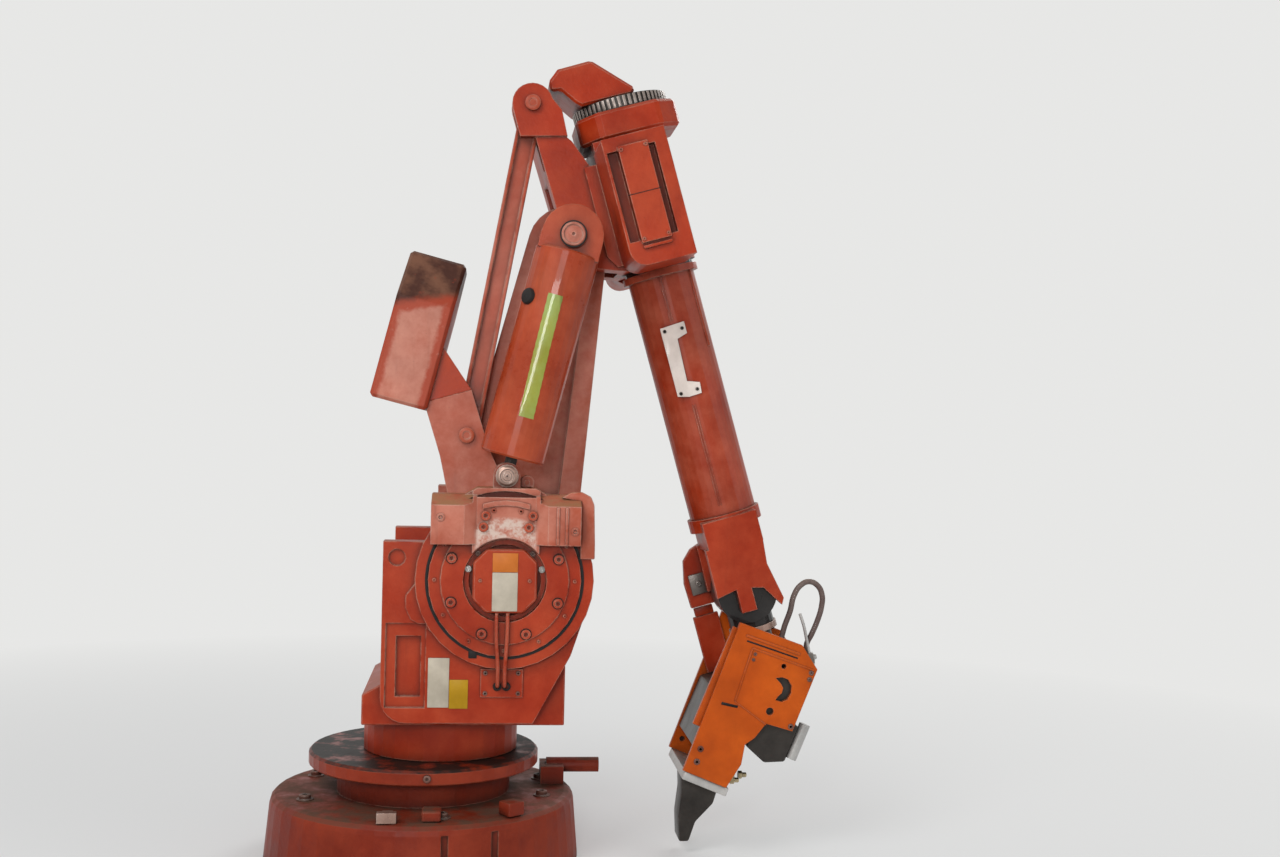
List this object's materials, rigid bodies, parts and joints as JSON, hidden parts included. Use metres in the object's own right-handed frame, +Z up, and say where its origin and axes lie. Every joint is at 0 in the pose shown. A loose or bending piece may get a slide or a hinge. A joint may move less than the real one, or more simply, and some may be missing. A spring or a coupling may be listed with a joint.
{
  "type": "industrial robot arm",
  "caption": "Industrial robot arm on a round pedestal with a parallel linkage, counterweight, spring balance cylinders and a spot-welding gun.",
  "frame": {"origin": "centre of the pedestal's underside, on the first axis, at floor level", "axes": "+Z up, +X the way the arm reaches, +Y to the arm's left"},
  "size_m": [1.7113, 0.98, 2.4974],
  "materials": {
    "orange_paint": "worn satin orange-red paint",
    "gun_paint": "bright orange paint",
    "bare_steel": "machined steel",
    "dark_steel": "oily dark steel",
    "black": "black, greasy"
  },
  "bodies": {
    "base": {"base_casting": "orange_paint", "base_cable_inlet": "dark_steel", "stop_bracket": "bare_steel", "stop_block": "orange_paint"},
    "turret": {"turn_disc": "orange_paint", "turret_body": "orange_paint", "side_plate_near": "orange_paint", "side_plate_far": "orange_paint", "gear_flange_near": "orange_paint", "gear_flange_far": "orange_paint", "motor_cover_near": "orange_paint", "motor_cover_far": "orange_paint", "stop_bridge_near": "orange_paint", "stop_bridge_far": "orange_paint", "spring_pin_near": "bare_steel", "spring_pin_far": "bare_steel", "connector_plate": "orange_paint", "motor_cable_left": "orange_paint", "motor_cable_right": "orange_paint"},
    "lower_arm": {"lower_arm": "orange_paint", "elbow_shaft": "bare_steel"},
    "parallel_arm": {"parallel_arm": "orange_paint", "link_pin_lower": "bare_steel", "counterweight": "orange_paint", "counterweight_bracket": "orange_paint"},
    "parallel_rod": {"parallel_rod": "orange_paint"},
    "spring_near": {"balance_cylinder_near": "orange_paint"},
    "spring_far": {"balance_cylinder_far": "orange_paint"},
    "piston_near": {"piston_rod_near": "dark_steel"},
    "piston_far": {"piston_rod_far": "dark_steel"},
    "upper_arm": {"upper_arm": "orange_paint", "link_pin_upper": "bare_steel", "motor_housing_near": "orange_paint", "motor_housing_far": "orange_paint", "rear_cap": "orange_paint", "rear_collar": "dark_steel", "rear_cover": "orange_paint"},
    "forearm": {"tube_seal": "black", "arm_tube": "orange_paint", "wrist_housing": "orange_paint", "wrist_bracket": "orange_paint"},
    "wrist": {"tilt_housing": "black"},
    "tool": {"turning_disc": "bare_steel", "gun_adapter": "dark_steel", "gun_plate_near": "gun_paint", "gun_plate_far": "gun_paint", "gun_transformer": "dark_steel", "gun_side_bar": "orange_paint", "gun_edge_rail": "gun_paint", "gun_actuator": "dark_steel", "gun_air_cylinder": "bare_steel", "gun_manifold": "bare_steel"}
  },
  "joints": [
    {"name": "axis_1", "type": "hinge", "parent": "base", "child": "turret", "pos_m": [0, 0, 0.2908], "axis": [0, 0, 1], "range_deg": [-180, 180]},
    {"name": "axis_2", "type": "hinge", "parent": "turret", "child": "lower_arm", "pos_m": [0.235, 0, 0.9], "axis": [0, 1, 0], "range_deg": [-79.9, 22]},
    {"name": "axis_3", "type": "hinge", "parent": "lower_arm", "child": "upper_arm", "pos_m": [0.41381, 0, 1.92451], "axis": [0, -1, 0], "range_deg": [-5, 101.8]},
    {"name": "parallel_arm_pivot", "type": "hinge", "parent": "lower_arm", "child": "parallel_arm", "pos_m": [0.235, -0.17, 0.9], "axis": [0, -1, 0], "range_deg": [-5, 101.8]},
    {"name": "parallel_rod_pivot", "type": "hinge", "parent": "parallel_arm", "child": "parallel_rod", "pos_m": [0.11224, -0.12, 1.32253], "axis": [0, 1, 0], "range_deg": [-5, 101.8]},
    {"name": "axis_4", "type": "hinge", "parent": "upper_arm", "child": "forearm", "pos_m": [0.67309, 0, 1.99984], "axis": [-0.279, 0, 0.9603], "range_deg": [-300, 300]},
    {"name": "axis_5", "type": "hinge", "parent": "forearm", "child": "wrist", "pos_m": [1.01066, 0, 0.83789], "axis": [0, 1, 0], "range_deg": [-120, 120]},
    {"name": "axis_6", "type": "hinge", "parent": "wrist", "child": "tool", "pos_m": [1.01066, 0, 0.83789], "axis": [-0.279, 0, 0.9603], "range_deg": [-180, 180]},
    {"name": "spring_pivot_near", "type": "hinge", "parent": "lower_arm", "child": "spring_near", "pos_m": [0.41381, -0.3, 1.92451], "axis": [0, 1, 0], "range_deg": [-24.02, 6.65]},
    {"name": "piston_pivot_near", "type": "hinge", "parent": "turret", "child": "piston_near", "pos_m": [0.235, -0.3, 1.206], "axis": [0, 1, 0], "range_deg": [-103.92, 28.65]},
    {"name": "spring_pivot_far", "type": "hinge", "parent": "lower_arm", "child": "spring_far", "pos_m": [0.41381, 0.3, 1.92451], "axis": [0, 1, 0], "range_deg": [-24.02, 6.65]},
    {"name": "piston_pivot_far", "type": "hinge", "parent": "turret", "child": "piston_far", "pos_m": [0.235, 0.3, 1.206], "axis": [0, 1, 0], "range_deg": [-103.92, 28.65]}
  ],
  "couplings": [
    {"joint": "parallel_arm_pivot", "follows": "axis_3", "ratio": 1},
    {"joint": "parallel_rod_pivot", "follows": "axis_3", "ratio": 1},
    {"joint": "spring_pivot_near", "follows": "axis_2", "ratio": 0.3},
    {"joint": "piston_pivot_near", "follows": "axis_2", "ratio": 1.3},
    {"joint": "spring_pivot_far", "follows": "axis_2", "ratio": 0.3},
    {"joint": "piston_pivot_far", "follows": "axis_2", "ratio": 1.3}
  ]
}
